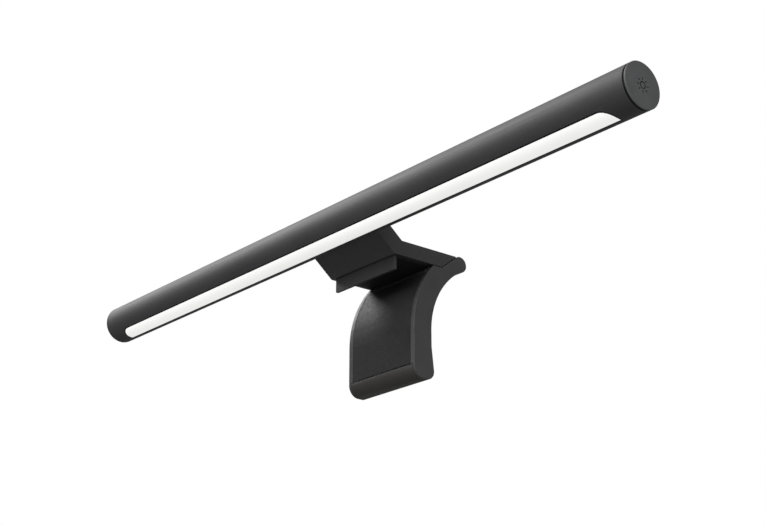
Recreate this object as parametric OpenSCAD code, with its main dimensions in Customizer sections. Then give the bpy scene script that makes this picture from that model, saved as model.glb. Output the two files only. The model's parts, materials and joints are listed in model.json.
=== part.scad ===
// Monitor light bar: a round lamp held by magnets in the head of a sprung clip that hangs on a
// screen's top edge. X runs along the lamp, -Y is the user's side and +Z is up. The origin is on
// the underside of the front rest pad, where the clip stands on the screen. Millimetres, degrees.

/* [Lamp] */
// Length over both end caps
lamp_len = 448; // [400:1:500]
// Outer diameter of the tube
tube_d = 23.2; // [23:0.1:23.4]
// Wall of the tube
tube_wall = 1.2; // [1.1:0.1:1.3]
// Turn of the light window from straight down towards the user
aim = 20; // [15:1:25]
// Length of the light window
window_len = 420; // [380:1:424]
// Width of the light window across the tube
window_w = 8.8; // [8:0.1:9]
// Corner radius at the window's front edge
window_r = 7; // [5:0.5:7.5]
// Spacing of the light-emitting chips
chip_pitch = 9.6; // [8:0.2:12]
// Place of the power inlet along the tube
inlet_x = 60; // [50:1:80]

/* [Clip] */
// Width of the clip and of its leg
clip_w = 56; // [52:1:58]
// Lamp axis in front of the origin
axis_front = 31; // [30.5:0.1:31.5]
// Lamp axis above the origin
axis_up = 17.3; // [17:0.05:17.7]
// Thickness of the level plate
plate_t = 8.6; // [8.2:0.1:9]
// Thickness of the sloping arm
arm_t = 10; // [9.8:0.1:10.2]
// Slope of the arm
arm_slope = 39.5; // [39:0.5:40]
// Height of the front lip under the plate
lip_h = 7.9; // [6:0.1:10]
// Thickness of the front lip
lip_t = 1.7; // [1.5:0.1:1.8]

/* [Leg] */
// Radius of the leg's front face
leg_r = 57.2; // [56.8:0.1:57.6]
// Thickness of the leg
leg_t = 12.6; // [12:0.1:12.8]
// Gap between the front lip's pad and the leg when closed
jaw_gap = 9.4; // [9:0.1:10]
// Reach of the leg below the origin
leg_drop = 65.8; // [64:0.1:70]
// Radius of the hinge barrel
hinge_r = 4.6; // [4.5:0.1:4.7]

/* [Hidden] */
$fn = 96;

// Finishes
charcoal = "#333335";
black = "#1c1c1d";
rubber_black = "#242424";
milk = "#f4f4f0";
steel = "#b4b6ba";
board_green = "#1f5b3c";

// Lamp, in its own frame: axis along X, window facing -Z
tube_r = tube_d / 2;
bore_r = tube_r - tube_wall;
cap_t = 0.8;
cap_groove = 1.1;
cap_inset = cap_t + cap_groove;
spigot_len = 8;
tube_len = lamp_len - 2 * cap_inset;
flange_in = 0.9;
inner_len = window_len - 6;
rail_z = -2.9;
rail_t = 2;
led_board_t = 1;
led_board_w = 9.6;
chip = [2.8, 2.4, 0.8];
chip_count = floor((inner_len - 10) / chip_pitch);
sheet_t = 0.6;
driver_z = rail_z + rail_t + sheet_t;
driver_t = 1;
driver_top = driver_z + driver_t;
driver_x0 = inlet_x - 24;
driver_len = 100;
driver_w = 16;
socket_w = 8.94;
socket_h = 3.26;
socket_len = 7.3;
socket_wall = 0.3;
socket_z = driver_top + socket_h / 2;
socket_mouth = 10.2;
tongue = [6.7, 0.7, 5.4];
bezel_w = 13;
bezel_h = 6.2;
screw_r = 1;
screw_head_r = 1.9;
screw_play = 0.02;

// Magnetic head: angles about the lamp axis, from +Y towards +Z
seat_angle = -8;
cradle_a0 = -21;
cradle_a1 = 5;
tongue_a0 = -18.5;
tongue_a1 = -10;
track_end = 50;
tilt_down = 8;
tilt_up = 15;
liner_r = tube_r + 0.1;
cradle_r0 = liner_r + 0.4;
cradle_r1 = cradle_r0 + 1.5;
track_r = cradle_r1 + 0.25;
cheek_r = tube_r + 0.35;
cheek_t = 3.5;
cradle_half = clip_w / 2 - cheek_t - 0.3;
tongue_len = 0.8;
head_back = 9.1;
head_bevel = 0.5;
magnet = [15, 6, 1.9];
magnet_x = 11;
magnet_r = 7.4;
holder_half = 22;
holder_y = 5.2;

// Clip outline in the (Y, Z) plane
pad_proud = 0.5;
pad_t = 1;
front_pad_y = [-4.5, 5.1];
rear_pad_y = [6.4, 19];
plate_z0 = pad_proud;
plate_z1 = plate_z0 + plate_t;
lip_pad_t = 0.6;
lip_y1 = -4.7 - lip_pad_t;
lip_y0 = lip_y1 - lip_t;
flange_t = 1.5;
half_w = clip_w / 2;
hook_half = half_w - 2.3;
hook_back = 20;
insert_half = 19.7;
insert_y0 = 1.3;
insert_len = 22.4;
insert_t = 4.8;
u_dir = [-cos(arm_slope), sin(arm_slope)];
n_dir = [sin(arm_slope), cos(arm_slope)];
axis_yz = [-axis_front, axis_up];
fold = [lip_y0 - 1.6, plate_z0];
arm_len = (axis_yz - fold) * u_dir - head_back;
bend_y = fold[0] + arm_t / sin(arm_slope) - plate_t / tan(arm_slope);

// Hinge and leg
gap = 0.3;
leg_front_y = lip_y1 + lip_pad_t + jaw_gap;
leg_c = [leg_front_y + leg_r, -38];
leg_back_r = leg_r - leg_t;
hinge = [39.2, plate_z1 - hinge_r + 0.55];
neck_slope = 38.5;
neck_n = [-sin(neck_slope), cos(neck_slope)];
pin_r = 1.5;
bush_r = 2.4;
pin_half = half_w - 1.5;
knuckle_x0 = 7.3;
knuckle_x1 = 16;
leg_layer = 1.2;
leg_rim = 3.2;
cover_t = 1.6;
cover_half = half_w - 2.5;
weight_half = 18.5;
pad_top_a = 143;
pad_bottom = -57.9;
cover_top_a = 140;
cover_bottom = -47;
foot_r = 6.7;
foot_c = [leg_front_y + foot_r, foot_r - leg_drop];
heel_r = 5;
foot_back_y = leg_front_y + leg_t + 1.6;
foot_split = -58.5;
foot_pad_t = 2.2;
leg_bolt_x = 21;
leg_bolt_angles = [171, 148];
leg_bolt_sink = 0.15;
spring_wire = 0.9;
spring_r = 3.3;
spring_turns = 11.7;
spring_len = 2 * knuckle_x0 - spring_wire - 0.8;
spring_start = -100;
spring_sides = 6;
plate_arm = 11;
leg_arm = 8;

// ---- Helpers ----

// Extrudes a (Y, Z) outline from x0 to x1
module along_x(x0, x1) translate([x0, 0, 0]) rotate([90, 0, 90])
    linear_extrude(x1 - x0) children();

// Round bar of radius r from x0 to x1 about the local X axis
module rod_x(r, x0, x1) translate([x0, 0, 0]) rotate([0, 90, 0]) cylinder(r = r, h = x1 - x0);

// Turns a (radius, X) outline about the local X axis, starting at x0
module turned(x0) translate([x0, 0, 0]) rotate([90, 0, 90]) rotate_extrude() children();

// Places children in the lamp's own frame
module in_lamp() translate([0, axis_yz[0], axis_yz[1]]) rotate([-aim, 0, 0]) children();

// Places children on the lamp axis, unturned
module at_axis() translate([0, axis_yz[0], axis_yz[1]]) children();

// Places children on the hinge axis
module at_hinge() translate([0, hinge[0], hinge[1]]) children();

// (Y, Z) sector of a ring between two radii and two angles less than 90 degrees apart
module ring_sector(r0, r1, a0, a1) intersection() {
    difference() {
        circle(r1);
        circle(r0);
    }
    polygon([[0, 0], 2 * r1 * [cos(a0), sin(a0)], 2 * r1 * [cos(a1), sin(a1)]]);
}

// Stadium of a given width and height
module stadium(w, h) union() {
    square([w - h, h], center = true);
    for (s = [-1, 1]) translate([s * (w - h) / 2, 0]) circle(h / 2);
}

// Countersunk screw along -Z with its head's top at z = 0
module countersunk(len) union() {
    head_t = screw_head_r - screw_r;
    translate([0, 0, -head_t]) cylinder(r1 = screw_r, r2 = screw_head_r, h = head_t);
    translate([0, 0, -len]) cylinder(r = screw_r, h = len);
}

// Hole for such a screw, with a little play, that stays open above its head
module countersink(len) union() {
    head_t = screw_head_r - screw_r;
    translate([0, 0, -head_t])
        cylinder(r1 = screw_r + screw_play, r2 = screw_head_r + screw_play, h = head_t);
    translate([0, 0, -len]) cylinder(r = screw_r + screw_play, h = len);
    cylinder(r = screw_head_r + screw_play, h = 1);
}

// ---- Lamp ----

// Plan of the light window, drawn in by inset on every side: large radii at the front corners
module window_plan(inset) {
    l = window_len / 2 - inset;
    w = window_w / 2 - inset;
    r = window_r - inset;
    intersection() {
        square([2 * l, 2 * w], center = true);
        union() {
            square([2 * (l - r), 2 * w], center = true);
            translate([-l, r - w]) square([2 * l, 2 * w]);
            for (s = [-1, 1]) translate([s * (l - r), r - w]) circle(r);
        }
    }
}

module window_prism(inset) translate([0, 0, -tube_r - 1])
    linear_extrude(tube_r) window_plan(inset);

module tube_shell(r0, r1, half_len) difference() {
    rod_x(r1, -half_len, half_len);
    rod_x(r0, -half_len - 1, half_len + 1);
}

module lamp_tube() color(charcoal) in_lamp() difference() {
    turned(-tube_len / 2) polygon([
        [bore_r, 0], [tube_r - 0.25, 0], [tube_r, 0.25],
        [tube_r, tube_len - 0.25], [tube_r - 0.25, tube_len], [bore_r, tube_len]
    ]);
    window_prism(0);
    translate([inlet_x, 0, socket_z]) rotate([-90, 0, 0]) linear_extrude(tube_r + 1)
        stadium(bezel_w, bezel_h);
}

// Half outline of an end cap: hollow spigot, shadow groove of depth groove_d, bevelled disc
module cap_outline(groove_d) {
    spigot_r = bore_r - 0.05;
    disc_x = spigot_len + cap_groove;
    polygon([
        [0, spigot_len], [spigot_r - 1.5, spigot_len], [spigot_r - 1.5, 0], [spigot_r, 0],
        [spigot_r, spigot_len], [tube_r - groove_d, spigot_len], [tube_r - groove_d, disc_x],
        [tube_r - 0.15, disc_x], [tube_r, disc_x + 0.15], [tube_r, disc_x + cap_t - 0.3],
        [tube_r - 0.3, disc_x + cap_t], [0, disc_x + cap_t]
    ]);
}

// Plain sun mark: a ring with eight rays
module sun_mark() {
    difference() {
        circle(1.9);
        circle(1.3);
    }
    for (i = [0:7]) rotate(45 * i) translate([2.5, -0.3]) square([1.3, 0.6]);
}

module end_cap_right() color("#4a4b4d") in_lamp() difference() {
    turned(tube_len / 2 - spigot_len) cap_outline(0.9);
    along_x(lamp_len / 2 - 0.3, lamp_len / 2 + 1) rotate(aim) sun_mark();
}

module end_cap_left() color(charcoal) in_lamp() mirror([1, 0, 0])
    turned(tube_len / 2 - spigot_len) cap_outline(0.02);

// Milky strip: flush in the window, with a wider flange behind the tube's wall
module diffuser() color(milk) in_lamp() union() {
    intersection() {
        tube_shell(bore_r - flange_in, tube_r - 0.05, window_len / 2);
        window_prism(0.12);
    }
    intersection() {
        tube_shell(bore_r - flange_in, bore_r - 0.08, window_len / 2 + 2);
        window_prism(-1.4);
    }
}

// White channel with sloping sides and a slot for the chips
module reflector() color("white") in_lamp() difference() {
    along_x(-inner_len / 2, inner_len / 2)
        polygon([[-5.2, rail_z - 1.05], [5.2, rail_z - 1.05], [6, rail_z - 3.9], [-6, rail_z - 3.9]]);
    along_x(-inner_len / 2 + 1, inner_len / 2 - 1)
        polygon([[-4.6, rail_z - 1.5], [4.6, rail_z - 1.5], [5.4, rail_z - 4], [-5.4, rail_z - 4]]);
    translate([0, 0, rail_z - 1.5]) cube([inner_len - 2, chip[1] + 0.6, 2], center = true);
}

module led_board() color("white") in_lamp()
    translate([-inner_len / 2, -led_board_w / 2, rail_z - led_board_t])
        cube([inner_len, led_board_w, led_board_t]);

module led_chips() color("#e8d98a") in_lamp() for (i = [0:chip_count - 1])
    translate([(i - (chip_count - 1) / 2) * chip_pitch, 0, rail_z - led_board_t - chip[2] / 2])
        cube(chip, center = true);

// Aluminium rail across the bore that carries the boards and spreads the heat
module heat_rail() color(steel) in_lamp() difference() {
    along_x(-tube_len / 2 + spigot_len + 1, tube_len / 2 - spigot_len - 1) intersection() {
        circle(bore_r - 0.08);
        translate([-tube_r, rail_z]) square([2 * tube_r, rail_t]);
    }
    translate([-holder_half - 0.2, holder_y, rail_z - 1])
        cube([2 * (holder_half + 0.2), tube_r, rail_t + 2]);
    board_screw_places() translate([0, 0, -rail_t - 4])
        cylinder(r = screw_r + screw_play, h = rail_t + 8);
    lead_places() translate([0, 0, -rail_t - 4]) cylinder(r = 0.8, h = rail_t + 8);
}

module board_screw_places() for (x = [driver_x0 + 4, driver_x0 + driver_len - 4], s = [-1, 1])
    translate([x, s * (driver_w / 2 - 2.2), driver_top]) children();

module lead_places() for (s = [-1, 1]) translate([driver_x0 - 6, s * 3, driver_top]) children();

module insulator_sheet() color("#c9b27a") in_lamp() difference() {
    translate([driver_x0, -driver_w / 2, driver_z - sheet_t]) cube([driver_len, driver_w, sheet_t]);
    board_screw_places() translate([0, 0, -4]) cylinder(r = screw_r + 0.1, h = 8);
}

module driver_board() color(board_green) in_lamp() difference() {
    translate([driver_x0, -driver_w / 2, driver_z]) cube([driver_len, driver_w, driver_t]);
    board_screw_places() translate([0, 0, -4]) cylinder(r = screw_r + 0.1, h = 8);
}

// Coil, two capacitors, the controller and two switching transistors
module driver_parts() in_lamp() translate([driver_x0, 0, driver_top]) {
    color("#2b2b2e") translate([42, -3, 0]) cube([6, 6, 3]);
    for (x = [54, 62]) color("#3b4a6b") translate([x, 0, 0]) cylinder(r = 2.6, h = 5.2);
    color(black) translate([70, -2.5, 0]) cube([5, 5, 1]);
    for (y = [-5, 2]) color(black) translate([34, y, 0]) cube([3, 3, 1.1]);
}

module radio_module() in_lamp() translate([driver_x0 + 80, -5, driver_top]) {
    color(board_green) cube([13, 10, 0.8]);
    color(steel) translate([1, 1.5, 0.8]) cube([7, 7, 1.6]);
}

module board_screws() color(steel) in_lamp() board_screw_places() union() {
    cylinder(r = 1.8, h = 1.3);
    translate([0, 0, -driver_t - sheet_t - 1.8]) cylinder(r = screw_r, h = driver_t + sheet_t + 1.8);
}

// Two leads from the driver board down through the rail to the chips' board
module led_leads() for (s = [-1, 1]) color(s < 0 ? "red" : black) in_lamp()
    translate([driver_x0 - 6, s * 3, driver_top + 0.5]) union() {
        rod_x(0.5, 0, 10);
        sphere(0.5);
        translate([0, 0, rail_z - driver_top - 0.5]) cylinder(r = 0.5, h = driver_top + 0.5 - rail_z);
    }

// Places children at the inlet, with local +Z pointing out of the tube's back
module at_inlet() in_lamp() translate([inlet_x, 0, socket_z]) rotate([-90, 0, 0]) children();

module usb_socket_shell() color(steel) at_inlet() difference() {
    translate([0, 0, socket_mouth - socket_len])
        linear_extrude(socket_len) stadium(socket_w, socket_h);
    translate([0, 0, socket_mouth - socket_len + 1]) linear_extrude(socket_len)
        stadium(socket_w - 2 * socket_wall, socket_h - 2 * socket_wall);
}

module usb_socket_tongue() color(black) at_inlet()
    translate([-tongue[0] / 2, -tongue[1] / 2, socket_mouth - socket_len + 1]) cube(tongue);

module usb_bezel() color(black) in_lamp() intersection() {
    rod_x(tube_r - 0.05, inlet_x - bezel_w, inlet_x + bezel_w);
    translate([inlet_x, 0, socket_z]) rotate([-90, 0, 0]) difference() {
        translate([0, 0, 8.2]) linear_extrude(tube_r) stadium(bezel_w - 0.1, bezel_h - 0.1);
        linear_extrude(2 * tube_r) stadium(socket_w + 0.1, socket_h + 0.1);
    }
}

// Places children facing the cradle, with local +Z pointing at it
module at_seat() at_axis() rotate([seat_angle - 90, 0, 0]) children();

module magnet_holder() color(black) difference() {
    in_lamp() intersection() {
        rod_x(bore_r - 0.1, -holder_half, holder_half);
        along_x(-holder_half, holder_half) polygon([
            [0, rail_z + rail_t], [holder_y + 0.2, rail_z + rail_t], [holder_y + 0.2, rail_z],
            [tube_r, rail_z], [tube_r, tube_r], [0, tube_r]
        ]);
    }
    at_seat() for (s = [-1, 1]) translate([s * magnet_x, 0, magnet_r + 5])
        cube([magnet[0] + 0.1, magnet[1] + 0.1, 10], center = true);
}

module lamp_magnets() color(steel) at_seat() for (s = [-1, 1])
    translate([s * magnet_x, 0, magnet_r + magnet[2] / 2]) cube(magnet, center = true);

// ---- Tilting cradle ----

// Steel cradle that the magnets hold; its end tongues run in the clip's grooves
module tilt_cradle() color(steel) at_axis() union() {
    along_x(-cradle_half, cradle_half) ring_sector(cradle_r0, cradle_r1, cradle_a0, cradle_a1);
    along_x(-cradle_half - tongue_len, cradle_half + tongue_len)
        ring_sector(cradle_r0 + 0.5, cradle_r1 - 0.5, tongue_a0, tongue_a1);
}

module cradle_liner() color(rubber_black) at_axis() along_x(-cradle_half + 1, cradle_half - 1)
    ring_sector(liner_r, cradle_r0, cradle_a0 + 1, cradle_a1 - 1);

// ---- Clip ----

module bracket_outline() {
    head_low = fold + arm_len * u_dir;
    cut = hinge + (hinge_r + gap) * neck_n;
    polygon([
        fold,
        head_low,
        head_low + (arm_t - head_bevel) * n_dir,
        head_low + arm_t * n_dir - head_bevel * u_dir,
        [bend_y, plate_z1],
        [cut[0] + (plate_z1 - cut[1]) / tan(neck_slope), plate_z1],
        [cut[0] + (plate_z0 - cut[1]) / tan(neck_slope), plate_z0]
    ]);
}

// Barrel half of the hinge, joined to the plate's rear edge
module knuckle_outline() union() {
    translate(hinge) circle(hinge_r);
    polygon([
        [hinge[0] - 14, plate_z0], [hinge[0], plate_z0], [hinge[0], plate_z1], [hinge[0] - 10, plate_z1]
    ]);
}

// Level flange of the hook plate, up to x = half
module hook_flange(half) translate([-half, lip_y0, plate_z0])
    cube([2 * half, hook_back - lip_y0, flange_t]);

module plate_screw_places() for (y = [0, 14], s = [-1, 1])
    translate([s * (hook_half - 2.5), y, plate_z0 + pad_t - pad_proud]) rotate([180, 0, 0]) children();

module arm_bracket() color(charcoal) difference() {
    union() {
        along_x(-half_w, half_w) bracket_outline();
        for (x = [-knuckle_x1, knuckle_x0]) along_x(x, x + knuckle_x1 - knuckle_x0) knuckle_outline();
    }
    at_axis() {
        rod_x(cheek_r, -half_w - 1, half_w + 1);
        along_x(-half_w + cheek_t, half_w - cheek_t)
            ring_sector(cheek_r - 1, track_r, cradle_a0 - tilt_down - 0.7, track_end);
        along_x(-half_w + cheek_t - tongue_len - 0.3, half_w - cheek_t + tongue_len + 0.3) ring_sector(
            cradle_r0 + 0.3, cradle_r1 - 0.3, tongue_a0 - tilt_down - 0.7, tongue_a1 + tilt_up + 0.7
        );
    }
    hook_flange(hook_half + 0.1);
    insert_block(0.3);
    plate_screw_places() cylinder(r = screw_r + screw_play, h = 14, center = true);
    at_hinge() rod_x(bush_r + 0.01, -knuckle_x1 - 1, knuckle_x1 + 1);
    spring_arm_hole(-1, spring_start, plate_arm);
}

// Block behind the hook plate, made larger by play on its sides and above
module insert_block(play) translate([-insert_half - play, insert_y0 - play, plate_z0 + flange_t])
    cube([2 * (insert_half + play), insert_len + 2 * play, insert_t + play]);

module steel_insert() color(steel) insert_block(0);

// L-shaped plate: flange screwed under the arm bracket, and the front lip
module hook_plate() color(charcoal) difference() {
    union() {
        hook_flange(hook_half);
        translate([-hook_half, lip_y0, plate_z0 - lip_h])
            cube([2 * hook_half, lip_t, lip_h + flange_t]);
    }
    rest_pad_block(front_pad_y);
    rest_pad_block(rear_pad_y);
    plate_screw_places() countersink(8);
}

// Soft pad under the flange, between two places in y
module rest_pad_block(y) translate([1 - hook_half, y[0], 0])
    cube([2 * hook_half - 2, y[1] - y[0], pad_t]);

module rest_pad_front() color(rubber_black) rest_pad_block(front_pad_y);

module rest_pad_rear() color(rubber_black) rest_pad_block(rear_pad_y);

module plate_screws() color(steel) plate_screw_places() countersunk(6.4);

module lip_pad() color(rubber_black)
    translate([1 - hook_half, lip_y1, plate_z0 - lip_h + 0.8])
        cube([2 * hook_half - 2, lip_pad_t, lip_h - 1.4]);

module hinge_bushes() color("#b08d57") at_hinge() for (x = [-knuckle_x1, knuckle_x0]) difference() {
    rod_x(bush_r, x, x + knuckle_x1 - knuckle_x0);
    rod_x(pin_r + 0.05, x - 1, x + knuckle_x1 - knuckle_x0 + 1);
}

// Points of one ring of the spring's wire, at turn t of the helix, moved along the wire by slide
function spring_ring(t, slide) = [
    for (i = [0:spring_sides - 1]) let (
        a = 360 * t + spring_start,
        r = spring_r + spring_wire / 2 * cos(360 * i / spring_sides),
        x = (t / spring_turns - 0.5) * spring_len + spring_wire / 2 * sin(360 * i / spring_sides)
    ) [x, r * cos(a) - slide * sin(a), r * sin(a) + slide * cos(a)]
];

// Torsion spring: a close-wound helix whose straight arms end in the plate and in the leg
module torsion_spring() {
    steps = round(spring_turns * 14);
    rings = [
        each spring_ring(0, -plate_arm),
        for (k = [0:steps]) each spring_ring(k * spring_turns / steps, 0),
        each spring_ring(spring_turns, leg_arm)
    ];
    walls = [for (k = [0:steps + 1], i = [0:spring_sides - 1]) let (j = (i + 1) % spring_sides)
        spring_sides * [k, k + 1, k + 1, k] + [i, i, j, j]];
    first = [for (i = [0:spring_sides - 1]) i];
    last = [for (i = [1:spring_sides]) len(rings) - i];
    color(steel) at_hinge() polyhedron(rings, concat(walls, [first, last]), convexity = 10);
}

// Round hole for a spring arm that leaves the coil's end at x = side * spring_len / 2
module spring_arm_hole(side, angle, reach) at_hinge() translate([side * spring_len / 2, 0, 0])
    rotate([angle, 0, 0]) translate([0, spring_r, 0]) rotate([side > 0 ? 0 : 180, 0, 0])
        cylinder(r = spring_wire / 2 + 0.2, h = reach + 0.3);

// ---- Leg ----

// Layer of the leg up to x = half, between two radii, from an upper angle down to a level
module leg_band(half, r0, r1, top_a, bottom_z) union() {
    along_x(-half, half) translate(leg_c) ring_sector(r0, r1, top_a, 180);
    translate([-half, leg_c[0] - r1, bottom_z]) cube([2 * half, r1 - r0, leg_c[1] - bottom_z]);
}

// Full body of the leg up to x = half, trimmed clear of the plate above it
module leg_blank(half) {
    heel = [foot_back_y - heel_r, heel_r - leg_drop];
    tangent = hinge + hinge_r * neck_n;
    under = plate_z0 - gap;
    intersection() {
        union() {
            along_x(-half, half) translate(leg_c) ring_sector(leg_back_r, leg_r, 119, 180);
            along_x(-half, half) polygon([
                [leg_front_y, leg_c[1]], [leg_front_y + leg_t, leg_c[1]],
                [leg_front_y + leg_t, cover_bottom], [foot_back_y, heel[1]],
                [heel[0], -leg_drop], [foot_c[0], -leg_drop], [leg_front_y, foot_c[1]]
            ]);
            at_hinge() rod_x(hinge_r, -half, half);
            translate([0, heel[0], heel[1]]) rod_x(heel_r, -half, half);
            intersection() {
                translate([0, foot_c[0], foot_c[1]]) rod_x(foot_r, -half, half);
                translate([-half, leg_front_y - 1, -leg_drop - 1])
                    cube([2 * half, foot_r + 1.5, foot_r + 2]);
            }
        }
        along_x(-half, half) polygon([
            [-20, -leg_drop - 1], [-20, under],
            [tangent[0] + (under - tangent[1]) / tan(neck_slope), under],
            tangent + 20 * [cos(neck_slope), sin(neck_slope)], [80, -leg_drop - 1]
        ]);
    }
}

// Body of the soft foot: the front and underside of the leg's end
module foot_pad_body() {
    half = half_w - 1.5;
    difference() {
        intersection() {
            leg_blank(half);
            translate([-half, -20, -leg_drop - 1]) cube([2 * half, 80, foot_split + leg_drop + 1]);
        }
        translate([0, foot_c[0], foot_c[1]]) rod_x(foot_r - foot_pad_t, -half_w, half_w);
        along_x(-half_w, half_w) polygon([
            [leg_front_y + foot_pad_t, foot_c[1]], [leg_front_y + foot_pad_t, foot_split + 5],
            [60, foot_split + 5], [60, foot_pad_t - leg_drop], [foot_c[0], foot_pad_t - leg_drop]
        ]);
    }
}

// Places children just under the surface of the leg's back, with local -Z pointing into it
module leg_bolt_places() for (s = [-1, 1], a = leg_bolt_angles)
    translate([s * leg_bolt_x, leg_c[0], leg_c[1]]) rotate([a - 90, 0, 0])
        translate([0, 0, leg_back_r + leg_bolt_sink]) rotate([180, 0, 0]) children();

module leg_shell() color("#3a3a3c") difference() {
    leg_blank(half_w);
    leg_band(half_w - leg_rim, leg_r - leg_layer, leg_r + 1, pad_top_a, pad_bottom);
    foot_pad_body();
    leg_band(cover_half, leg_back_r - 1, leg_back_r + cover_t, cover_top_a, cover_bottom);
    leg_band(weight_half, leg_back_r, leg_r - leg_layer - cover_t, cover_top_a + 4, cover_bottom + 3);
    leg_bolt_places() cylinder(r = screw_r + screw_play, h = 16, center = true);
    along_x(-knuckle_x1 - gap, knuckle_x1 + gap) {
        translate(hinge) circle(hinge_r + gap);
        translate([hook_back, plate_z0 - gap]) square([40, 20]);
        translate([hinge[0] - hinge_r, hinge[1] - 8]) square([20, 20]);
    }
    at_hinge() {
        rod_x(pin_r + 0.01, -half_w - 1, pin_half);
        rod_x(pin_r + 1.01, -half_w - 1, -pin_half);
    }
    spring_arm_hole(1, spring_start + 360 * spring_turns, leg_arm);
}

module leg_pad() color(rubber_black) leg_band(
    half_w - leg_rim - 0.1, leg_r - leg_layer + 0.02, leg_r, pad_top_a + 0.1, pad_bottom + 0.1
);

module foot_pad() color(rubber_black) foot_pad_body();

module counterweight() color(steel) leg_band(
    weight_half - 0.3, leg_back_r + cover_t + 0.2, leg_r - leg_layer - cover_t - 0.2,
    cover_top_a + 4.5, cover_bottom + 3.3
);

module leg_back_cover() color(charcoal) difference() {
    leg_band(cover_half - 0.1, leg_back_r, leg_back_r + cover_t, cover_top_a + 0.1, cover_bottom + 0.1);
    leg_bolt_places() countersink(8);
}

module leg_screws() color(steel) leg_bolt_places() countersunk(7);

module hinge_pin() color(steel) at_hinge() rod_x(pin_r, -pin_half + 0.1, pin_half - 0.1);

module pin_cap() color(charcoal) at_hinge() rod_x(pin_r + 1, -half_w, -pin_half - 0.1);

// ---- Nodes ----

lamp_tube();
end_cap_right();
end_cap_left();
diffuser();
reflector();
led_board();
led_chips();
heat_rail();
insulator_sheet();
driver_board();
driver_parts();
radio_module();
board_screws();
led_leads();
usb_socket_shell();
usb_socket_tongue();
usb_bezel();
magnet_holder();
lamp_magnets();
tilt_cradle();
cradle_liner();
arm_bracket();
steel_insert();
hook_plate();
plate_screws();
rest_pad_front();
rest_pad_rear();
lip_pad();
hinge_bushes();
torsion_spring();
leg_shell();
leg_pad();
foot_pad();
counterweight();
leg_back_cover();
leg_screws();
hinge_pin();
pin_cap();
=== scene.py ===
import json
import math

import bmesh
import bpy
from mathutils import Matrix, Vector
from mathutils.geometry import delaunay_2d_cdt


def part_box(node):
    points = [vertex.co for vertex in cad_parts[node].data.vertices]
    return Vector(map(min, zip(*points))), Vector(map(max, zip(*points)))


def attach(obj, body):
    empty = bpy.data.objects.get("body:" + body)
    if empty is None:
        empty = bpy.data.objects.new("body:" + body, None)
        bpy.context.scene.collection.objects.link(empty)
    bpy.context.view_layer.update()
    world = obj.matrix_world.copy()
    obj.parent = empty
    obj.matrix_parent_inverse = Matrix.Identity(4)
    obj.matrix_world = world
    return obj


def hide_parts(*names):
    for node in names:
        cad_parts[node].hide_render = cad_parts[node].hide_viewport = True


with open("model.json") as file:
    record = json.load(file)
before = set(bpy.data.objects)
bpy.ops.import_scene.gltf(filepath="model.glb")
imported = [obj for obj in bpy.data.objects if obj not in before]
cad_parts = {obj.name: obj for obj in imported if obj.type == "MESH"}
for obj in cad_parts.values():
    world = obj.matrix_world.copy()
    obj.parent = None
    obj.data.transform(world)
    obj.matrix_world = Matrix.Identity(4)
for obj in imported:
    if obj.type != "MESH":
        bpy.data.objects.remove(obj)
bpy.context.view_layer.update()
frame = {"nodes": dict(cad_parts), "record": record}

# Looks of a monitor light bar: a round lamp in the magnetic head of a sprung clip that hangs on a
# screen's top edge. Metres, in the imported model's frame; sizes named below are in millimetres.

scene = bpy.context.scene
nodes = frame["nodes"]
MM = 0.001

# Sizes of the lamp's visible skin
TUBE_R = 11.6
BORE_R = 10.4
WINDOW_HALF = 210.0      # half the window's length
WINDOW_W = 4.4           # half the window's width
WINDOW_CORNER = 7.0      # radius of the window's two front corners
AIM = 20.0               # turn of the window towards the user, in degrees
INLET = (13.0, 6.2)      # opening in the tube's back for the inlet's bezel
SEAL_W = 0.55            # black seal between the opal strip and the tube
FLUSH = 0.05             # how far the strip and the seal lie under the tube's surface
STRIP_DEPTH = 0.3        # how far both reach into the bore
SEAL_GAP = 0.03          # between the seal and the tube
STRIP_GAP = 0.02         # between the strip and the seal
CAP_DISC = 0.78          # the right cap's disc, a hair less than its thickness
MARK_R = 6.0             # circle round the mark in the right cap
MARK_SINK = 0.08         # depth in the mark at which its ink begins

# Fineness of the tube's mesh
TUBE_SEAM = -150.0       # where the unrolled tube is cut open, in degrees from the window
TUBE_SIDES = 120
TUBE_PITCH = 6.0         # between points along the lamp
STRIP_PITCH = 4.0
CLEAR = 0.35             # plain points keep this far from the openings' outlines
SEAM_NEAR = 0.0001       # an edge this close to the seam gets no wall
WELD = 0.0005            # points of a new piece closer than this are one point
CAD_WELD = 0.001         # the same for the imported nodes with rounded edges
WINDOW_FADE = 24.0       # degrees past the window in which the bore's points fall back in line
INLET_FADE = 12.0        # the same past the inlet
SHARP = math.radians(35)

# Camera, below the bar's right end and in front of it
LENS = 69.71             # on a 36 mm sensor
EYE = (0.60143, -0.49056, -0.28013)      # in metres
LOOK_BACK = (50.44, -20.18)              # the way its back faces: azimuth and elevation


# ---- Camera, floor and light ----

def spot(azimuth, elevation):
    """Unit vector towards a viewer at that azimuth and elevation, in degrees."""
    a, e = math.radians(azimuth), math.radians(elevation)
    return Vector((math.sin(a) * math.cos(e), -math.cos(a) * math.cos(e), math.sin(e)))


def make_camera():
    """Camera at EYE, looking up along the bar and away from LOOK_BACK."""
    camera = bpy.data.cameras.new("camera")
    camera.sensor_width = 36
    camera.lens = LENS
    camera.clip_start, camera.clip_end = 0.01, 90
    obj = bpy.data.objects.new("camera", camera)
    back = spot(*LOOK_BACK)
    right = Vector((-back.y, back.x, 0)).normalized()
    turn = Matrix((right, back.cross(right), back)).transposed()
    obj.matrix_world = Matrix.Translation(EYE) @ turn.to_4x4()
    scene.collection.objects.link(obj)
    scene.camera = obj


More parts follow.
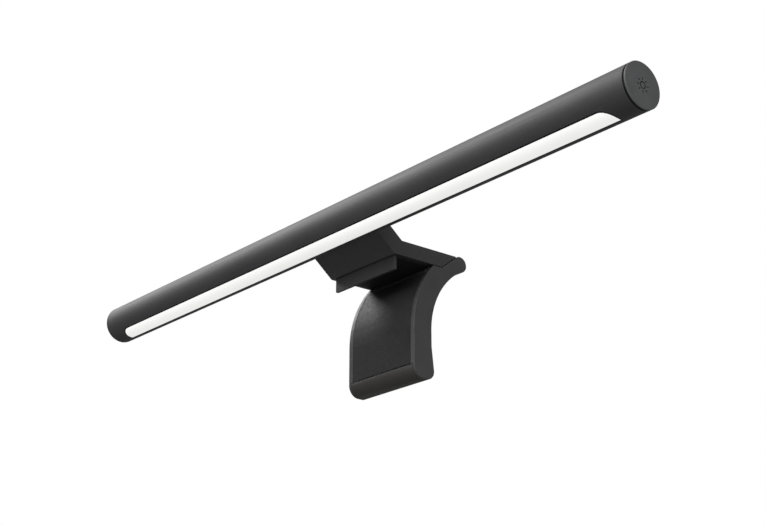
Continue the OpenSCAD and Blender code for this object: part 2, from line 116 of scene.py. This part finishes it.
def area_light(name, centre, size, power):
    """Soft rectangular light at centre that faces the origin."""
    light = bpy.data.lights.new(name, "AREA")
    light.shape = "RECTANGLE"
    light.size, light.size_y = size
    light.energy = power
    obj = bpy.data.objects.new(name, light)
    obj.location = centre
    obj.rotation_mode = "QUATERNION"
    obj.rotation_quaternion = (-Vector(centre)).to_track_quat("-Z", "Y")
    obj.visible_camera = False
    scene.collection.objects.link(obj)


def make_world(ambient):
    """Pale all round for the camera, and an even fill for the object."""
    world = bpy.data.worlds.new("studio")
    world.use_nodes = True
    tree = world.node_tree
    background = tree.nodes["Background"]
    path = tree.nodes.new("ShaderNodeLightPath")
    level = tree.nodes.new("ShaderNodeMapRange")
    level.inputs["To Min"].default_value = ambient
    level.inputs["To Max"].default_value = 1.0
    tree.links.new(path.outputs["Is Camera Ray"], level.inputs["Value"])
    tree.links.new(level.outputs["Result"], background.inputs["Strength"])
    background.inputs["Color"].default_value = (1, 1, 1, 1)
    scene.world = world
    scene.view_settings.view_transform = "Standard"


def make_floor(level, half):
    """Pale square floor at a level, which throws no light or reflection on the object."""
    mesh = bpy.data.meshes.new("floor")
    corners = [(x * half, y * half, level) for x, y in ((-1, -1), (1, -1), (1, 1), (-1, 1))]
    mesh.from_pydata(corners, [], [(0, 1, 2, 3)])
    floor = bpy.data.objects.new("floor", mesh)
    material = bpy.data.materials.new("pale_floor")
    material.use_nodes = True
    shader = material.node_tree.nodes["Principled BSDF"]
    shader.inputs["Base Color"].default_value = (0.86, 0.86, 0.86, 1)
    shader.inputs["Roughness"].default_value = 0.8
    shader.inputs["Emission Color"].default_value = (1, 1, 1, 1)
    shader.inputs["Emission Strength"].default_value = 0.6
    mesh.materials.append(material)
    scene.collection.objects.link(floor)
    floor.visible_diffuse = False
    floor.visible_glossy = False


make_camera()
make_world(ambient=0.27)
make_floor(level=-1.2, half=40)
area_light("key", centre=(-3.5, -1.15, 3.4), size=(2.2, 2.2), power=220)
area_light("right", centre=(1.9, -0.5, 0.45), size=(1.4, 1.4), power=19)
area_light("front", centre=(0.3, -1.9, 0.7), size=(1.4, 1.0), power=24)


# ---- Materials ----

# Near-black: ink in the right cap's mark, and painted shade on the cap's neck in the groove behind
# its disc
MARK_INK_AND_PAINTED_SHADE = (0.006, 0.006, 0.006)     # in the right cap's mark and on its neck


class Shader:
    """A material's node tree, built one node at a time, with sizes in millimetres."""

    def __init__(self, name):
        self.material = bpy.data.materials.new("look_" + name)
        self.material.use_nodes = True
        self.tree = self.material.node_tree
        self.bsdf = self.tree.nodes["Principled BSDF"]
        self.place = self.add("ShaderNodeTexCoord").outputs["Object"]

    def add(self, kind, settings=None, **sockets):
        """New node of a kind, with its settings and the values or links of its sockets."""
        node = self.tree.nodes.new(kind)
        for name, value in (settings or {}).items():
            setattr(node, name, value)
        for name, value in sockets.items():
            self.plug(node.inputs[name.replace("_", " ")], value)
        return node

    def plug(self, socket, value):
        """Link a socket to an output, or set it to a number or colour."""
        if isinstance(value, bpy.types.NodeSocket):
            self.tree.links.new(value, socket)
        elif isinstance(value, tuple) and len(value) == 3 and socket.type == "RGBA":
            socket.default_value = (*value, 1)
        else:
            socket.default_value = value

    def surface(self, **sockets):
        """Set or link the material's own sockets."""
        for name, value in sockets.items():
            self.plug(self.bsdf.inputs[name.replace("_", " ")], value)

    def noise(self, size, detail=2.0, stretch=(1, 1, 1)):
        """Noise from 0 to 1 whose lumps are about size across, longer along the stretched axes."""
        scale = tuple(1 / (size * MM * s) for s in stretch)
        place = self.add("ShaderNodeMapping", Vector=self.place, Scale=scale).outputs["Vector"]
        return self.add("ShaderNodeTexNoise", Vector=place, Scale=1.0, Detail=detail).outputs["Fac"]

    def span(self, value, low, high, start=0.3, end=0.7):
        """Value mapped from start..end to low..high, and held there."""
        node = self.add("ShaderNodeMapRange", Value=value, From_Min=start, From_Max=end,
                        To_Min=low, To_Max=high)
        return node.outputs["Result"]

    def blend(self, amount, a, b):
        """Colour a at amount 0 to colour b at amount 1."""
        node = self.tree.nodes.new("ShaderNodeMix")
        node.data_type = "RGBA"
        for index, value in ((0, amount), (6, a), (7, b)):
            self.plug(node.inputs[index], value)
        return node.outputs[2]

    def math(self, operation, a, b):
        """One operation on two numbers or outputs."""
        node = self.tree.nodes.new("ShaderNodeMath")
        node.operation = operation
        self.plug(node.inputs[0], a)
        self.plug(node.inputs[1], b)
        return node.outputs[0]

    def edges(self, radius):
        """1 on sharp outer edges that hands rub, 0 on faces."""
        soft = self.add("ShaderNodeBevel", {"samples": 4}, Radius=radius * MM).outputs["Normal"]
        true = self.add("ShaderNodeNewGeometry").outputs["Normal"]
        node = self.add("ShaderNodeVectorMath", {"operation": "DOT_PRODUCT"})
        self.plug(node.inputs[0], soft)
        self.plug(node.inputs[1], true)
        return self.span(node.outputs["Value"], 1.0, 0.0, 0.72, 0.985)

    def relief(self, *layers):
        """Bump from (height 0 to 1, depth) layers, one on the other."""
        normal = None
        for height, depth in layers:
            node = self.add("ShaderNodeBump", Height=height, Distance=depth * MM, Strength=1.0)
            if normal:
                self.plug(node.inputs["Normal"], normal)
            normal = node.outputs["Normal"]
        self.plug(self.bsdf.inputs["Normal"], normal)


def shade(colour, factor):
    """Colour made darker or lighter by a factor."""
    return tuple(min(1.0, c * factor) for c in colour)


def cap_mark_ink_and_painted_shade(s):
    """1 in the cap's sunk mark (ink) and on its neck behind the disc (painted shade), else 0."""
    low, high = (Vector(corner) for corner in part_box("end_cap_right"))
    place = s.add("ShaderNodeVectorMath", {"operation": "SUBTRACT"})
    s.plug(place.inputs[0], s.place)
    s.plug(place.inputs[1], (high.x, (low.y + high.y) / 2, (low.z + high.z) / 2))
    away = s.add("ShaderNodeSeparateXYZ", Vector=place.outputs["Vector"]).outputs
    sunk = s.math("LESS_THAN", away["X"], -MARK_SINK * MM)
    across, up = (s.math("MULTIPLY", away[axis], away[axis]) for axis in "YZ")
    in_circle = s.math("LESS_THAN", s.math("ADD", across, up), (MARK_R * MM) ** 2)
    # the neck in the groove behind the disc is painted near-black as shade
    painted_groove_shade = s.math("LESS_THAN", away["X"], -CAP_DISC * MM)
    return s.math("MAXIMUM", s.math("MULTIPLY", sunk, in_circle), painted_groove_shade)


def moulded(name, colour, rough, grain=0.45, depth=0.012, wear=0.35, patch=0.12, specular=0.5,
            ink_and_shade_mask=None):
    """Spark-textured plastic: fine grain, flow patches, rubbed edges; near-black ink and painted
    shade where the mask is 1.
    """
    s = Shader(name)
    patches = s.span(s.noise(11, 3), 0, 1)
    speck = s.span(s.noise(0.5, 1), 0, 1, 0.35, 0.65)
    base = s.blend(patches, shade(colour, 1 - patch), shade(colour, 1 + patch))
    base = s.blend(s.math("MULTIPLY", speck, 0.35), base, shade(colour, 1.35))
    rubbed = s.math("MULTIPLY", s.edges(0.5), s.span(s.noise(4, 2), 0.4 * wear, wear))
    base = s.blend(rubbed, base, shade(colour, 3.2))
    # near-black where the mask is 1: ink in a mark, and painted shade in the cap's groove
    if ink_and_shade_mask:
        base = s.blend(ink_and_shade_mask(s), base, MARK_INK_AND_PAINTED_SHADE)
    matt = s.span(s.noise(2.4, 3), rough - 0.05, rough + 0.06)
    s.surface(Base_Color=base, Roughness=s.math("SUBTRACT", matt, s.math("MULTIPLY", rubbed, 0.3)),
              Specular_IOR_Level=specular)
    s.relief((s.noise(grain, 3), depth), (s.noise(7, 1), 0.02))
    return s.material


def painted(name, colour, rough):
    """Satin paint on an aluminium tube: orange peel, drawn lines along the tube, fine dust."""
    s = Shader(name)
    drawn = s.span(s.noise(0.5, 2, (60, 1, 1)), 0, 1)
    dust = s.span(s.noise(0.4, 0), 0, 1, 0.6, 0.78)
    cloud = s.span(s.noise(26, 3), 0, 1)
    base = s.blend(cloud, shade(colour, 0.9), shade(colour, 1.12))
    base = s.blend(s.math("MULTIPLY", dust, 0.5), base, shade(colour, 1.9))
    rubbed = s.math("MULTIPLY", s.edges(0.35), s.span(s.noise(5, 2), 0.1, 0.4))
    base = s.blend(rubbed, base, shade(colour, 3))
    s.surface(Base_Color=base, Roughness=s.span(drawn, rough - 0.035, rough + 0.035, 0, 1))
    s.relief((s.noise(1.6, 2), 0.006), (s.noise(0.35, 1), 0.004))
    return s.material


def soft(name, colour, rough, grain=0.3, depth=0.012, bloom=1.6, specular=0.5):
    """Silicone or rubber: dull, with a pale bloom of dust and a moulded skin."""
    s = Shader(name)
    haze = s.span(s.noise(15, 4), 0, 1)
    lint = s.span(s.noise(0.35, 1), 0, 1, 0.62, 0.8)
    base = s.blend(haze, shade(colour, 0.86), shade(colour, 1.18))
    base = s.blend(s.math("MULTIPLY", lint, 0.4), base, shade(colour, bloom + 1))
    rubbed = s.math("MULTIPLY", s.edges(0.4), s.span(s.noise(3, 2), 0.05, 0.3))
    base = s.blend(rubbed, base, shade(colour, 2.2))
    s.surface(Base_Color=base, Roughness=s.span(s.noise(1.8, 2), rough - 0.05, rough + 0.08),
              Specular_IOR_Level=specular)
    s.relief((s.noise(grain, 2), depth), (s.noise(3, 2), 0.012))
    return s.material


def metal(name, colour, rough, brush=(40, 1, 1), depth=0.004, stain=0.2):
    """Brushed, turned or plated metal with handling stains and bright edges."""
    s = Shader(name)
    lines = s.noise(0.18, 3, brush)
    marks = s.span(s.noise(5, 4), 0, 1, 0.42, 0.68)
    base = s.blend(s.span(lines, 0, 1), shade(colour, 0.86), shade(colour, 1.1))
    base = s.blend(s.math("MULTIPLY", marks, stain), base, shade(colour, 0.55))
    base = s.blend(s.math("MULTIPLY", s.edges(0.25), 0.5), base, shade(colour, 1.5))
    matt = s.math("ADD", s.span(lines, rough - 0.06, rough + 0.06), s.math("MULTIPLY", marks, 0.1))
    s.surface(Base_Color=base, Roughness=matt, Metallic=1.0)
    s.relief((lines, depth),)
    return s.material


def circuit(name, colour):
    """Solder mask over copper tracks, with the weave of the board under it."""
    s = Shader(name)
    tracks = s.add("ShaderNodeTexBrick", {"offset": 0.35}, Vector=s.place, Scale=1 / (9 * MM),
                   Mortar_Size=0.035, Mortar_Smooth=0.2, Brick_Width=0.42, Row_Height=0.16)
    copper = tracks.outputs["Fac"]
    masked_copper = (colour[0] + 0.1, colour[1] * 2.1, colour[2] * 1.6)
    weave = s.noise(0.4, 1, (1, 3, 1))
    base = s.blend(s.span(weave, 0, 1), shade(colour, 0.8), shade(colour, 1.15))
    base = s.blend(s.math("MULTIPLY", copper, 0.6), base, masked_copper)
    s.surface(Base_Color=base, Roughness=s.span(weave, 0.28, 0.42), Coat_Weight=0.3)
    s.relief((copper, 0.03), (weave, 0.006))
    return s.material


def milk(name, colour, strength):
    """Opal strip lit from inside: even, with faint clouds and a satin skin."""
    s = Shader(name)
    cloud = s.span(s.noise(30, 2), 0, 1)
    grain = s.span(s.noise(0.6, 1), 0, 1)
    tone = s.blend(cloud, shade(colour, 0.965), shade(colour, 1.0))
    tone = s.blend(s.math("MULTIPLY", grain, 0.5), tone, shade(colour, 0.94))
    s.surface(Base_Color=tone, Roughness=s.span(s.noise(2, 2), 0.36, 0.48), Emission_Color=tone,
              Emission_Strength=strength)
    s.relief((s.noise(0.5, 1), 0.004),)
    return s.material


def lit_chip(name, colour):
    """Phosphor of the light-emitting chips: yellow gel with a fine sparkle, glowing."""
    s = Shader(name)
    gel = s.blend(s.span(s.noise(0.3, 2), 0, 1), shade(colour, 0.85), shade(colour, 1.15))
    s.surface(Base_Color=gel, Roughness=s.span(s.noise(0.5, 1), 0.2, 0.35), Emission_Color=gel,
              Emission_Strength=1.5)
    s.relief((s.noise(0.3, 1), 0.01),)
    return s.material


TONE = {m["slot"]: tuple(m["base_color"]) for m in frame["record"]["materials"]}

# A look for each of the record's material slots, made from the slot's name and colour
LOOKS = {
    "tube_paint": lambda n, c: painted(n, shade(c, 0.78), 0.68),
    # right cap: ink in its mark, and painted shade on the neck behind its disc
    "cap_face": lambda n, c: moulded(n, shade(c, 0.95), 0.5, wear=0.5, ink_and_shade_mask=cap_mark_ink_and_painted_shade),
    "diffuser_milk": lambda n, c: milk(n, c, 0.62),
    "reflector_white": lambda n, c: moulded(n, c, 0.55, wear=0.05, patch=0.03),
    "chip_yellow": lit_chip,
    "raw_aluminium": lambda n, c: metal(n, c, 0.38),
    "insulator": lambda n, c: moulded(n, c, 0.6, grain=0.8, wear=0.1),
    "board_green": circuit,
    "component_black": lambda n, c: moulded(n, c, 0.42, grain=0.2, depth=0.006),
    "screw_steel": lambda n, c: metal(n, c, 0.32, (1, 1, 1)),
    "socket_steel": lambda n, c: metal(n, c, 0.22, (1, 12, 1), 0.002, 0.12),
    "black_plastic": lambda n, c: moulded(n, c, 0.45, grain=0.3, depth=0.008),
    "pressed_steel": lambda n, c: metal(n, c, 0.36, (14, 1, 1)),
    "soft_black": lambda n, c: soft(n, shade(c, 0.56), 0.62, specular=0.27),
    "soft_foot": lambda n, c: soft(n, c, 0.6),
    "clip_charcoal": lambda n, c: moulded(n, shade(c, 0.8), 0.52, wear=0.14),
    "bush_brass": lambda n, c: metal(n, c, 0.3, (1, 8, 8)),
    "leg_charcoal": lambda n, c: moulded(n, shade(c, 0.85), 0.54, wear=0.1),
}
looks = {slot: LOOKS[slot](slot, tone) for slot, tone in TONE.items()}
looks["window_seal"] = soft("window_seal", (0.004, 0.004, 0.004), 0.8, bloom=0.6, specular=0.1)

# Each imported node's material is named after its slot
for node in nodes.values():
    for place in node.material_slots:
        if place.material:
            place.material = looks[place.material.name.split(".")[0]]


# ---- Lamp's skin, in its own frame: X along the tube, window facing -Z ----

tube_low, tube_high = (Vector(corner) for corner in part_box("lamp_tube"))
axis = (tube_low + tube_high) / 2
TUBE_HALF = (tube_high.x - tube_low.x) / 2 / MM
lamp_frame = Matrix.Translation(axis) @ Matrix.Rotation(math.radians(-AIM), 4, "X")
inlet_low, inlet_high = (Vector(corner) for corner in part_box("usb_bezel"))
INLET_X = (inlet_low.x + inlet_high.x) / 2 / MM
inlet_middle = lamp_frame.inverted() @ ((inlet_low + inlet_high) / 2)


def piece(name, points, faces, slot, replaced=(), look=None, rounding=0.0):
    """Closed mesh of the lamp from points in its own frame, rounded where rounding is given."""
    mesh = bpy.data.meshes.new(name)
    mesh.from_pydata([lamp_frame @ (Vector(p) * MM) for p in points], [], faces)
    form = bmesh.new()
    form.from_mesh(mesh)
    bmesh.ops.remove_doubles(form, verts=form.verts, dist=WELD * MM)
    bmesh.ops.recalc_face_normals(form, faces=form.faces)
    for face in form.faces:
        face.smooth = True
    form.to_mesh(mesh)
    form.free()
    mesh.set_sharp_from_angle(angle=SHARP)
    mesh.materials.append(looks[look or slot])
    obj = bpy.data.objects.new(name, mesh)
    scene.collection.objects.link(obj)
    if rounding:
        round_edges(obj, rounding)
    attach(obj, "lamp")
    if replaced:
        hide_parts(*replaced)


def round_edges(obj, width):
    """Bevel on an object's sharp edges."""
    bevel = obj.modifiers.new("bevel", "BEVEL")
    bevel.width = width * MM
    bevel.segments = 2
    bevel.limit_method = "ANGLE"
    bevel.angle_limit = SHARP
    bevel.harden_normals = True
    bevel.use_clamp_overlap = False


def steps(start, end, pitch=None, count=3):
    """Even steps from start up to, but without, end: count of them, or about pitch apart."""
    if pitch:
        count = max(1, round(abs(end - start) / pitch))
    return [start + (end - start) * i / count for i in range(count)]


def window_outline(inset):
    """Window's outline drawn in by inset, in plan: rear corners square, front corners round."""
    length, width, radius = WINDOW_HALF - inset, WINDOW_W - inset, WINDOW_CORNER - inset
    arc_x, arc_y = length - radius, radius - width
    points = [(x, width) for x in steps(WINDOW_HALF, -WINDOW_HALF, TUBE_PITCH)]
    points = [(x * length / WINDOW_HALF, y) for x, y in points]
    points += [(-length, y) for y in steps(width, arc_y)]
    turn = [math.radians(a) for a in steps(0, 90, count=12)]
    points += [(-arc_x - radius * math.cos(a), arc_y - radius * math.sin(a)) for a in turn]
    front = steps(-WINDOW_HALF, WINDOW_HALF, TUBE_PITCH)
    points += [(x * arc_x / WINDOW_HALF, -width) for x in front]
    points += [(arc_x + radius * math.sin(a), arc_y - radius * math.cos(a)) for a in turn]
    points += [(length, y) for y in steps(arc_y, width)]
    return points


def stadium_outline(width, height, parts=12):
    """Outline of a stadium, with each of its round ends in parts."""
    reach, radius = (width - height) / 2, height / 2
    turn = [math.radians(180 * i / parts - 90) for i in range(parts + 1)]
    right = [(reach + radius * math.cos(a), radius * math.sin(a)) for a in turn]
    return right + [(-x, -y) for x, y in right]


def on_skin(radius, x, y):
    """Point of the lamp at a given radius under plan place (x, y)."""
    return (x, y, -math.sqrt(radius * radius - y * y))


def inside(point, outline):
    """Whether a flat point lies inside a closed outline."""
    x, y = point
    hit = False
    for (ax, ay), (bx, by) in zip(outline, outline[1:] + outline[:1]):
        if (ay > y) != (by > y) and x < (bx - ax) * (y - ay) / (by - ay) + ax:
            hit = not hit
    return hit


def near(point, outline, reach):
    """Whether a flat point lies within reach of an outline."""
    p = Vector(point)
    for a, b in zip(outline, outline[1:] + outline[:1]):
        if abs((a[0] + b[0]) / 2 - p.x) > abs(a[0] - b[0]) / 2 + reach:
            continue
        a, b = Vector(a), Vector(b)
        t = max(0.0, min(1.0, (p - a).dot(b - a) / max((b - a).length_squared, 1e-12)))
        if (a + (b - a) * t - p).length < reach:
            return True
    return False


def tube_wall():
    """The tube unrolled to (x, arc), cut by the window and the inlet, then rolled up again."""
    window = [(x, TUBE_R * math.asin(y / TUBE_R)) for x, y in window_outline(-SEAL_W)]
    inlet = [(INLET_X + x, TUBE_R * math.acos(-(inlet_middle.z / MM + z) / TUBE_R))
             for x, z in stadium_outline(*INLET)]
    holes = (window, inlet)
    first = TUBE_R * math.radians(TUBE_SEAM)
    pitch = 2 * math.pi * TUBE_R / TUBE_SIDES
    lengths = steps(-TUBE_HALF, TUBE_HALF, TUBE_PITCH) + [TUBE_HALF]
    flat, keep = [], []
    for i, x in enumerate(lengths):
        for j in range(TUBE_SIDES + 1):
            point = (x, first + j * pitch)
            rim = i in (0, len(lengths) - 1) or j in (0, TUBE_SIDES)
            if rim or not any(inside(point, hole) or near(point, hole, CLEAR) for hole in holes):
                flat.append(point)
    edges = []
    for hole in holes:
        base = len(flat)
        flat += hole
        edges += [(base + i, base + (i + 1) % len(hole)) for i in range(len(hole))]
    placed, _, faces = delaunay_2d_cdt([Vector(p) for p in flat], edges, [], 0, 1e-5)[:3]
    for face in faces:
        middle = sum((placed[i] for i in face), Vector((0, 0))) / len(face)
        if not inside(middle, window) and not inside(middle, inlet):
            keep.append(tuple(face))
    return placed, keep


def squared(turn, edge, fade):
    """Extra angle in the bore that keeps an opening's walls square, at most fade past its edge."""
    held = min(abs(turn), edge)
    extra = math.asin(TUBE_R / BORE_R * math.sin(held)) - held
    share = max(0.0, min(1.0, (edge + fade - abs(turn)) / fade))
    return math.copysign(extra * share, turn)


def bore_turn(turn):
    """Angle in the bore behind an angle on the skin, with both openings' walls square."""
    window_edge = math.asin((WINDOW_W + SEAL_W) / TUBE_R)
    window = squared(turn, window_edge, math.radians(WINDOW_FADE))
    inlet_edge = math.asin(INLET[1] / 2 / TUBE_R)
    inlet = squared(turn - math.pi / 2, inlet_edge, math.radians(INLET_FADE))
    return turn + window + inlet


def make_tube():
    """The tube: its skin, its bore, and walls between them at both ends and round the openings."""
    placed, faces = tube_wall()
    skin, bore = [], []
    for x, arc in placed:
        turn = arc / TUBE_R
        deep = bore_turn(turn)
        skin.append((x, TUBE_R * math.sin(turn), -TUBE_R * math.cos(turn)))
        bore.append((x, BORE_R * math.sin(deep), -BORE_R * math.cos(deep)))
    count = len(skin)
    solid = list(faces) + [tuple(count + i for i in reversed(face)) for face in faces]
    uses = {}
    for face in faces:
        for a, b in zip(face, face[1:] + face[:1]):
            uses.setdefault(frozenset((a, b)), []).append((a, b))
    seam = (min(p.y for p in placed), max(p.y for p in placed))
    for pair in uses.values():
        a, b = pair[0]
        on_seam = any(max(abs(placed[a].y - y), abs(placed[b].y - y)) < SEAM_NEAR for y in seam)
        if len(pair) == 1 and not on_seam:
            solid.append((b, a, count + a, count + b))
    piece("tube", skin + bore, solid, "tube_paint", ["lamp_tube"], rounding=0.22)


def make_window():
    """Opal strip flush in the window, and the thin black seal round it."""
    outer, inner = window_outline(SEAL_GAP - SEAL_W), window_outline(0.0)
    count = len(outer)
    top, foot = TUBE_R - FLUSH, BORE_R - STRIP_DEPTH
    rings = [[on_skin(top, *p) for p in outer], [on_skin(top, *p) for p in inner],
             [on_skin(foot, *p) for p in inner], [on_skin(foot, *p) for p in outer]]
    points = [p for ring in rings for p in ring]
    faces = [(k * count + i, k * count + (i + 1) % count,
              (k + 1) % 4 * count + (i + 1) % count, (k + 1) % 4 * count + i)
             for k in range(4) for i in range(count)]
    piece("window_seal", points, faces, "soft_black", look="window_seal")

    length, width, radius = (v - STRIP_GAP for v in (WINDOW_HALF, WINDOW_W, WINDOW_CORNER))
    turn = [math.radians(a) for a in steps(0, 90, count=14) + [90]]
    bend = [length - radius + radius * math.sin(a) for a in turn]
    straight = steps(radius - length, length - radius, STRIP_PITCH)[1:]
    places = [-x for x in reversed(bend)] + straight + bend
    across = 12
    points, faces = [], []
    for x in places:
        past = max(0.0, abs(x) - (length - radius))
        low = (radius - width) - math.sqrt(max(0.0, radius * radius - past * past))
        row = [low + (width - low) * i / across for i in range(across + 1)]
        points += [on_skin(top, x, y) for y in row] + [on_skin(foot, x, y) for y in reversed(row)]
    ring = 2 * (across + 1)
    for k in range(len(places) - 1):
        faces += [(k * ring + i, k * ring + (i + 1) % ring,
                   (k + 1) * ring + (i + 1) % ring, (k + 1) * ring + i) for i in range(ring)]
    faces += [tuple(range(ring)), tuple(reversed(range(len(points) - ring, len(points))))]
    piece("opal_strip", points, faces, "diffuser_milk", ["diffuser"])


make_tube()
make_window()


# ---- Softened edges on the moulded and pressed parts ----

ROUNDED = {
    "arm_bracket": 0.25, "leg_shell": 0.3, "hook_plate": 0.18, "leg_pad": 0.15, "foot_pad": 0.3,
    "rest_pad_front": 0.25, "rest_pad_rear": 0.25, "lip_pad": 0.15,
    "tilt_cradle": 0.2, "steel_insert": 0.25, "usb_bezel": 0.15,
}
for name, width in ROUNDED.items():
    weld = nodes[name].modifiers.new("weld", "WELD")
    weld.merge_threshold = CAD_WELD * MM
    round_edges(nodes[name], width)
